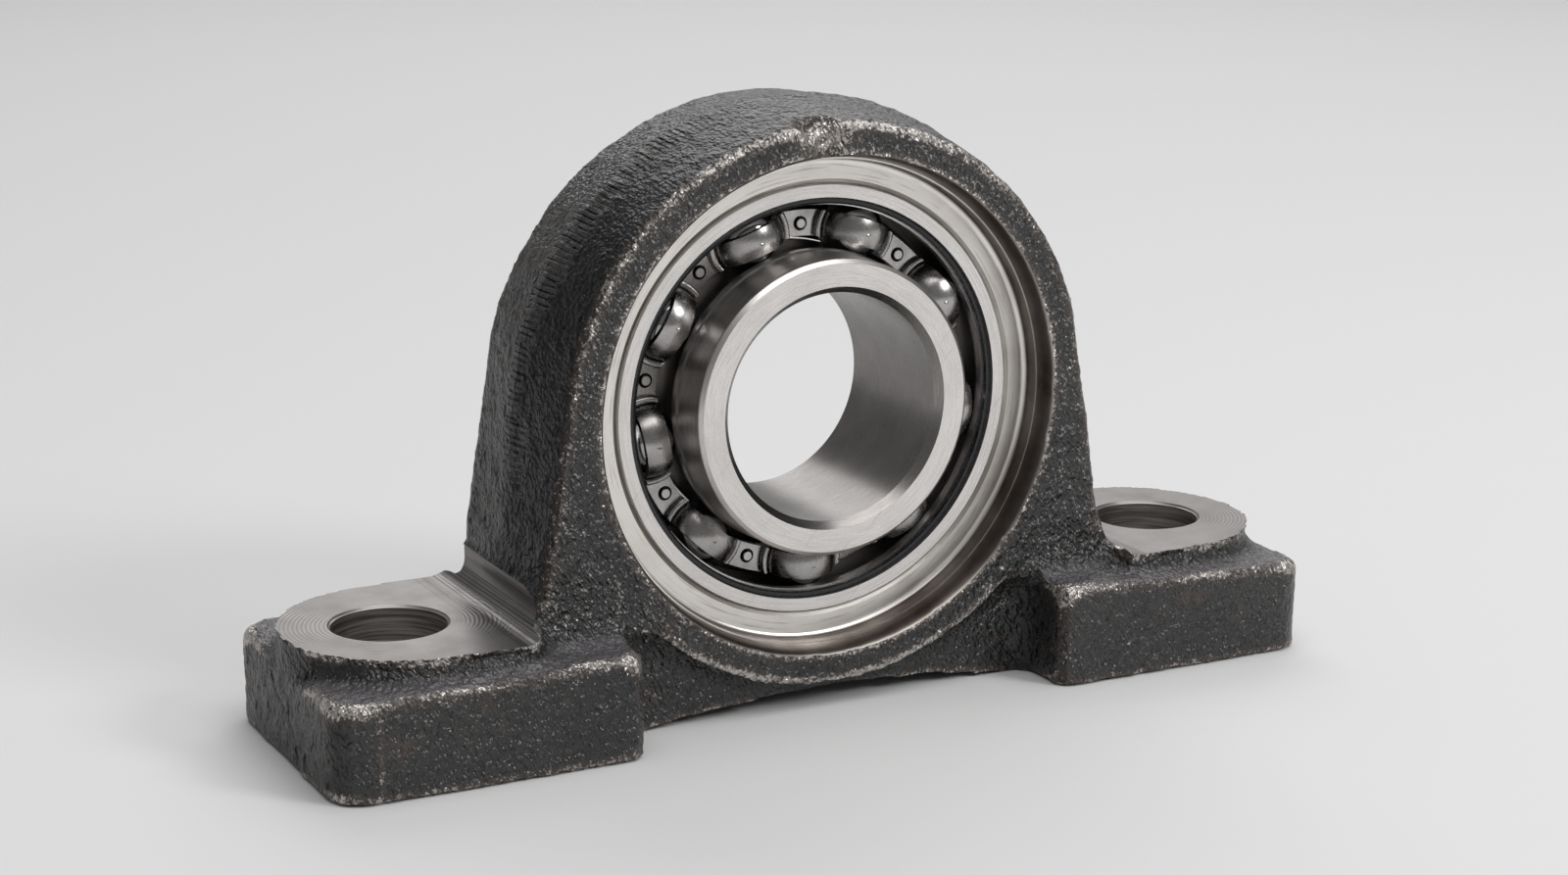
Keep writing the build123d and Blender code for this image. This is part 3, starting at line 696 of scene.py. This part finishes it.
def cast_blank():
    """The casting before machining: the CAD housing with its bore, holes and pads filled in."""
    source = frame["nodes"]["housing"]
    solid = bmesh.new()
    solid.from_mesh(source.data)
    bore_plug_r = RECESS_WALL_R + BORE_PLUG_MARGIN
    hole_plug_r = BOLT_R + HOLE_PLUG_MARGIN
    profile = [(bore_plug_r, -HUB_FACE_Y), (bore_plug_r, HUB_FACE_Y)]
    plugs = [lathe("bore_plug", profile, BORE_PLUG_STEPS)]
    for side in (-1, 1):
        profile = [(hole_plug_r, HOLE_PLUG_LOW), (hole_plug_r, PAD_Z + STOCK)]
        plugs.append(upright_lathe("hole_plug", side * BOLT_X, profile))
    for plug in plugs:
        solid.from_mesh(plug.data)
    mesh = bpy.data.meshes.new("housing_casting")
    solid.to_mesh(mesh)
    solid.free()
    remove(*plugs)
    blank = link(bpy.data.objects.new("housing_casting", mesh))
    remesh = blank.modifiers.new("remesh", "REMESH")
    remesh.mode = "VOXEL"
    remesh.voxel_size = VOXEL
    remesh.use_smooth_shade = True
    bake(blank)
    return blank


def turning_cut():
    """Bearing seat with its front recess and ledge, and its rear shoulder and recess."""
    step_y = -HUB_FACE_Y + RECESS_STEP_DEPTH
    shoulder_end = RING_REAR + SHOULDER_WIDTH
    out = HUB_FACE_Y + CUT_OVERRUN
    fillet_r = RECESS_WALL_R - RECESS_FILLET_R
    front = arc((fillet_r, RING_FRONT - RECESS_FILLET_R), RECESS_FILLET_R, 0, 90)
    rear = arc((fillet_r, shoulder_end + RECESS_FILLET_R), RECESS_FILLET_R, -90, 0)
    profile = [
        (RECESS_EDGE_R, -out),
        (RECESS_EDGE_R, -HUB_FACE_Y),
        (RECESS_MOUTH_R, -HUB_FACE_Y + RECESS_EDGE_BREAK),
        (RECESS_WALL_R + RECESS_STEP, step_y),
        (RECESS_WALL_R, step_y),
        *front,
        (RING_R + LEDGE_GAP, RING_FRONT),
        (RING_R, RING_FRONT + BORE_LEAD_DEPTH),
        (RING_R, RING_REAR),
        (RING_R - SHOULDER_HEIGHT, RING_REAR),
        (RING_R - SHOULDER_HEIGHT, shoulder_end),
        *rear,
        (RECESS_MOUTH_R, HUB_FACE_Y - RECESS_EDGE_BREAK),
        (RECESS_EDGE_R, HUB_FACE_Y),
        (RECESS_EDGE_R, out),
    ]
    return lathe("turning_cut", profile)


def milling_cut(side):
    """Space above a bolt pad, with a rounded corner and a low wall towards the arch."""
    flat_x = MILL_WALL_X + MILL_CORNER_R
    corner = arc((flat_x, PAD_Z + MILL_CORNER_R), MILL_CORNER_R, 270, 180, 24)
    wall_top = PAD_Z + MILL_WALL_RISE
    clear = (MILL_WALL_X + MILL_CLEARANCE, wall_top + MILL_CLEARANCE)
    beyond = HOUSING_HIGH.x + MILL_OVERRUN
    outline = corner + [(MILL_WALL_X, wall_top), clear, (beyond, AXIS_Z), (beyond, PAD_Z)]
    return prism("milling_cut", [(side * x, z) for x, z in outline], -MILL_REACH_Y, MILL_REACH_Y)


def drilling_cut(side):
    """A bolt hole with a broken edge."""
    edge_r = BOLT_R + HOLE_EDGE_BREAK
    profile = [
        (BOLT_R, -CUT_OVERRUN), (BOLT_R, PAD_Z - HOLE_EDGE_BREAK),
        (edge_r, PAD_Z), (edge_r, PAD_Z + CUT_OVERRUN)]
    return upright_lathe("drilling_cut", side * BOLT_X, profile)


def base_cut():
    """Everything below the flat underside."""
    reach = HOUSING_HIGH.x + BASE_CUT_OVERRUN
    outline = [(-reach, 0.0), (reach, 0.0), (reach, -BASE_CUT_DEPTH), (-reach, -BASE_CUT_DEPTH)]
    return prism("base_cut", outline, -BASE_CUT_REACH_Y, BASE_CUT_REACH_Y)


def cutters():
    """Solids that cut the machined faces, each with the finish that it leaves."""
    turned = turning_cut()
    turned.data.materials.append(turned_iron())
    milled = milled_iron()
    others = []
    for side in (-1, 1):
        others.append(milling_cut(side))
        others.append(drilling_cut(side))
    others.append(base_cut())
    for cut in others:
        cut.data.materials.append(milled)
    return [turned, *others]


def vertex_array(mesh, name):
    """The vertices' places or normals, one row each."""
    values = np.empty(len(mesh.vertices) * 3)
    mesh.vertices.foreach_get(name, values)
    return values.reshape(-1, 3)


def neighbours(mesh):
    """The edges as pairs of vertices, and how many of them each vertex has, but at least 1."""
    pairs = np.empty(len(mesh.edges) * 2, dtype=np.int32)
    mesh.edges.foreach_get("vertices", pairs)
    degree = np.bincount(pairs, minlength=len(mesh.vertices)).astype(float)
    degree[degree == 0] = 1.0
    return pairs.reshape(-1, 2), degree


def neighbour_mean(values, pairs, degree):
    """Mean of each vertex's neighbours."""
    total = np.zeros_like(values)
    np.add.at(total, pairs[:, 0], values[pairs[:, 1]])
    np.add.at(total, pairs[:, 1], values[pairs[:, 0]])
    return total / degree.reshape((-1,) + (1,) * (values.ndim - 1))


def smooth_step(value, low, high):
    """0 up to low and 1 from high, with a soft start and end."""
    share = np.clip((value - low) / (high - low), 0.0, 1.0)
    return share * share * (3 - 2 * share)


def fill_creases(mesh, rounds):
    """Round the inside corners of the casting, and leave the outside ones."""
    pairs, degree = neighbours(mesh)
    points = vertex_array(mesh, "co")
    normals = vertex_array(mesh, "normal")
    for _ in range(rounds):
        pull = neighbour_mean(points, pairs, degree) - points
        hollow = np.einsum("ij,ij->i", pull, normals)
        hollow = neighbour_mean(hollow, pairs, degree)
        share = smooth_step(hollow, 0.0, CREASE_HOLLOW)
        points += pull * (0.5 * share)[:, None]
    mesh.vertices.foreach_set("co", points.ravel())
    mesh.update()


def add_stock(mesh):
    """Raise the bolt pads and their rounded corners, so that milling cuts them clean."""
    points = vertex_array(mesh, "co")
    normals = vertex_array(mesh, "normal")
    across = np.abs(points[:, 0])
    z = points[:, 2]
    centre_x = MILL_WALL_X + MILL_CORNER_R
    centre_z = PAD_Z + MILL_CORNER_R
    off_pad = np.abs(z - PAD_Z)
    off_wall = np.abs(across - MILL_WALL_X)
    off_corner = np.abs(np.hypot(across - centre_x, z - centre_z) - MILL_CORNER_R)
    away = np.where(across > centre_x, off_pad, np.where(z > centre_z, off_wall, off_corner))
    facing = np.where(across > centre_x, normals[:, 2] > 0.5, True)
    near = (1 - smooth_step(away, *STOCK_FADE)) * facing
    near *= 1 - smooth_step(z, PAD_Z + MILL_WALL_RISE, PAD_Z + MILL_WALL_RISE + WALL_STOCK_FADE)
    near *= across > MILL_WALL_X - STOCK_MARGIN_X
    points += normals * (near * PAD_STOCK)[:, None]
    mesh.vertices.foreach_set("co", points.ravel())
    mesh.update()


def edge_shape(mesh):
    """How far each vertex stands out (above 0) or lies in (below 0), averaged over a few millimetres."""
    pairs, degree = neighbours(mesh)
    points = vertex_array(mesh, "co")
    normals = vertex_array(mesh, "normal")
    for _ in range(2):
        normals = neighbour_mean(normals, pairs, degree)
    bulge = np.einsum("ij,ij->i", points - neighbour_mean(points, pairs, degree), normals)
    for _ in range(3):
        bulge = neighbour_mean(bulge, pairs, degree)
    return bulge


def polyline_distance(a, b, corners):
    """Distance of points (a, b) from a line through corners, and on which side they are."""
    best = np.full(len(a), 1.0)
    sign = np.zeros(len(a))
    for (a0, b0), (a1, b1) in zip(corners, corners[1:]):
        da, db = a1 - a0, b1 - b0
        share = np.clip(((a - a0) * da + (b - b0) * db) / (da * da + db * db), 0.0, 1.0)
        gap = np.hypot(a - a0 - share * da, b - b0 - share * db)
        turn = np.sign((a - a0) * db - (b - b0) * da)
        nearer = gap < best
        best = np.where(nearer, gap, best)
        sign = np.where(nearer, turn, sign)
    return best, sign


def surface_marks(mesh):
    """Where the skin is rubbed bright, painted dark in hollows as painted shade, flecked, or a side face
    with long dents.
    """
    points = vertex_array(mesh, "co")
    normals = vertex_array(mesh, "normal")
    x, y, z = points.T
    bulge = edge_shape(mesh)
    radius = np.hypot(x, z - AXIS_Z)
    edge = smooth_step(bulge, *WORN_BULGE)
    place = np.where(np.abs(y) > PARTING_BAND_Y, 1.0, 0.35) * (0.6 + 0.4 * smooth_step(z, *GROUND_Z))
    near_chip = np.exp(-((x - CHIP_WEAR_X) / CHIP_WEAR_REACH) ** 2) * (z > AXIS_Z)
    on_foot = 0.75 * (z < AXIS_Z / 2)
    edge *= place * (0.55 + 0.45 * np.maximum(near_chip, on_foot))
    on_face = smooth_step(np.abs(normals[:, 1]), 0.7, 0.9)
    rim = np.exp(-((radius - RECESS_EDGE_R) / RIM_WIDTH) ** 2) * (np.abs(y) > RIM_Y) * 0.75
    from_line = x - CORNER_LINE_X
    corner_line = np.exp(-(from_line / CORNER_LINE_WIDTH) ** 2) * (y < CORNER_LINE_Y) * 0.4
    from_scar = (points - np.array(SCAR_MIDDLE) * MM) / (np.array(SCAR_SIZE) * MM)
    scar = 1.3 * np.exp(-np.sum(from_scar**2, axis=1))
    wear = np.maximum(np.maximum(edge, rim), np.maximum(corner_line, scar))
    # Hollows are painted dark: painted shade
    cavity = smooth_step(-bulge, *HOLLOW_SHADE_BULGE)
    on_hub = smooth_step(HUB_FACE_Y + HUB_MARGIN_Y - np.abs(y), *HUB_FADE_Y)
    hub = on_face * on_hub * smooth_step(z, *HUB_FADE_Z)
    fleck = 0.05 + 0.80 * hub + 0.12 * on_face * (1 - hub)
    side = smooth_step(np.abs(normals[:, 0]), 0.45, 0.8)
    # Faces turned up: where the painted sheen goes, and where the gloss is duller
    top = smooth_step(normals[:, 2], 0.55, 0.9)
    return {"wear": wear, "cavity": cavity, "fleck": np.clip(fleck, 0, 1), "side": side, "top": top}


def write_marks(mesh, source_points, marks):
    """Put the marks on the finished mesh, from the nearest point of the casting."""
    tree = kdtree.KDTree(len(source_points))
    for i, p in enumerate(source_points):
        tree.insert(p, i)
    tree.balance()
    nearest = [tree.find(v.co)[1] for v in mesh.vertices]
    for name, values in marks.items():
        layer = mesh.attributes.new(name, "FLOAT", "POINT")
        layer.data.foreach_set("value", values[nearest].astype(np.float32))


def rough_surface(mesh):
    """Uneven cast skin: broad waves, lumps and grain, then the fold, the flash and the chips."""
    points = vertex_array(mesh, "co")
    normals = vertex_array(mesh, "normal")
    shift = np.zeros(len(points))
    for i, p in enumerate(points):
        v = Vector(p)
        broad = noise.fractal(v * BROAD_WAVES, BROAD_SMOOTHNESS, BROAD_LACUNARITY, BROAD_OCTAVES)
        shift[i] = (
            BROAD_HEIGHT * broad
            + LUMP_HEIGHT * noise.noise(v * LUMP_WAVES)
            + GRAIN_HEIGHT * noise.noise(v * GRAIN_WAVES)
        ) * MM
    x, y, z = points.T
    gap, turn = polyline_distance(y, z, [(a * MM, b * MM) for a, b in FOLD_LINE])
    on_end = x < -HOUSING_HIGH.x + FOLD_END_DEPTH
    groove = -FOLD_DEPTH * np.exp(-(gap / FOLD_WIDTH) ** 2)
    shift += on_end * (groove + FOLD_STEP * turn * np.exp(-gap / FOLD_STEP_REACH)) * MM
    gap, _ = polyline_distance(x, z, [(a * MM, b * MM) for a, b in FLASH_LINE])
    on_front = (y < FLASH_MAX_Y) * (normals[:, 1] < -0.3)
    shift += on_front * FLASH_HEIGHT * np.exp(-(gap / FLASH_WIDTH) ** 2) * MM
    points += normals * shift[:, None]
    for place, size, depth, push in CHIPS:
        away = np.linalg.norm((points - np.array(place) * MM) / (np.array(size) * MM), axis=1)
        pushed = depth * MM * (1 - smooth_step(away, CHIP_CORE, 1.0))
        points += np.array(push)[None, :] * pushed[:, None]
    mesh.vertices.foreach_set("co", points.ravel())
    mesh.update()


def make_housing():
    """Casting with its skin marks, then machined, in place of the CAD housing."""
    blank = cast_blank()
    fill_creases(blank.data, CREASE_ROUNDS)
    marks = surface_marks(blank.data)
    add_stock(blank.data)
    blank.data.materials.clear()
    blank.data.materials.append(cast_iron())
    rough_surface(blank.data)
    casting_points = vertex_array(blank.data, "co")
    tools = cutters()
    for tool in tools:
        cut = blank.modifiers.new("cut", "BOOLEAN")
        cut.operation = "DIFFERENCE"
        cut.solver = "MANIFOLD"
        cut.material_mode = "TRANSFER"
        cut.object = tool
    bake(blank)
    remove(*tools)
    write_marks(blank.data, casting_points, marks)
    blank.data.set_sharp_from_angle(angle=SHARP_ANGLE)
    for face in blank.data.polygons:
        on_pad = face.normal.z > FLAT_LIMIT and abs(face.center.z - PAD_Z) < PAD_TOLERANCE
        face.use_smooth = face.material_index == 0 or not (on_pad or abs(face.normal.y) > FLAT_LIMIT)
    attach(blank, "housing_body")
    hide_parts("housing")


# Bearing

def dress(node, material):
    """Give a piece of the CAD model its material."""
    mesh = frame["nodes"][node].data
    mesh.materials.clear()
    mesh.materials.append(material)


def make_bearing():
    """Materials for the CAD nodes of the bearing, which keep their shapes."""
    ring = ring_steel()
    dress("bearing_outer_ring", ring)
    dress("bearing_inner_ring", ring)
    seal = seal_black()
    dress("front_seal_ring", seal)
    dress("rear_seal_ring", seal)
    cage = cage_steel()
    dress("cage_front", cage)
    dress("cage_rear", cage)
    ball = ball_steel()
    rivet = rivet_steel()
    for name in frame["nodes"]:
        if name.startswith("ball_"):
            dress(name, ball)
        elif name.startswith("cage_rivet_"):
            dress(name, rivet)


# Stage and light

# Floor and backdrop, in metres
FLOOR_REACH = 6.0
FLOOR_FRONT = -3.0
BACKDROP_START = 2.0
BACKDROP_BEND_R = 1.5
BACKDROP_TOP = 4.0
# Along Y, the floor is painted darker behind the object, a painted shade, and paler as the backdrop
# starts, painted light
FLOOR_FADE_Y = (0.1, 1.6)
BACKDROP_FADE_Y = (1.9, 2.6)
WORLD_STRENGTH = 0.20
# Lamps: name, place, point aimed at, width and height in metres, power in watts
LAMPS = [
    ("top_softbox", (0.1, -0.5, 2.2), (0.0, -0.1, 0.05), 2.2, 2.2, 34.0),
    ("back_softbox", (0.75, 1.455, 1.35), (0.0, 0.0, 0.06), 1.95, 1.5, 18.0),
    ("right_softbox", (0.75, -1.0, 0.85), (0.0, 0.0, 0.06), 0.38, 0.42, 7.5),
]


def make_stage():
    """A pale floor that curves up into a backdrop, painted darker behind the object and paler on the
    backdrop: painted shade and light.
    """
    n = Nodes("studio_floor")
    y = n.split()[1]
    # Painted shade on the floor behind the object, painted light on the backdrop
    far = n.ramp(y, *FLOOR_FADE_Y)
    shade = n.mix(far, colour(0.67, 0.67, 0.67), colour(0.57, 0.57, 0.57))
    shade = n.mix(n.ramp(y, *BACKDROP_FADE_Y), shade, colour(0.88, 0.88, 0.88))
    n.set(Base_Color=shade, Roughness=0.9)
    bend = arc((BACKDROP_START, BACKDROP_BEND_R), BACKDROP_BEND_R, 270, 360, 16)
    points = [(FLOOR_FRONT, 0.0), *bend, (BACKDROP_START + BACKDROP_BEND_R, BACKDROP_TOP)]
    vertices = [(side * FLOOR_REACH, depth, height) for side in (-1, 1) for depth, height in points]
    count = len(points)
    faces = [(i, i + count, i + count + 1, i + 1) for i in range(count - 1)]
    floor = mesh_object("studio_floor", vertices, faces)
    for face in floor.data.polygons:
        face.use_smooth = True
    floor.data.materials.append(n.material)


def area_light(name, place, aim, size_x, size_y, power):
    """A rectangular lamp turned towards a point."""
    data = bpy.data.lights.new(name, "AREA")
    data.shape = "RECTANGLE"
    data.size = size_x
    data.size_y = size_y
    data.energy = power
    lamp = link(bpy.data.objects.new(name, data))
    direction = Vector(aim) - Vector(place)
    lamp.rotation_mode = "QUATERNION"
    lamp.rotation_quaternion = direction.to_track_quat("-Z", "Y")
    lamp.location = place


def make_lights():
    """Large soft lamps: above, far right behind, and a small one front right."""
    for lamp in LAMPS:
        area_light(*lamp)
    world = bpy.data.worlds.new("studio")
    world.use_nodes = True
    back = world.node_tree.nodes["Background"]
    back.inputs["Color"].default_value = colour(1.0, 1.0, 1.0)
    back.inputs["Strength"].default_value = WORLD_STRENGTH
    bpy.context.scene.world = world


make_camera()
make_stage()
make_lights()
make_housing()
make_bearing()
bpy.context.scene.view_settings.view_transform = "Standard"

bpy.context.view_layer.update()
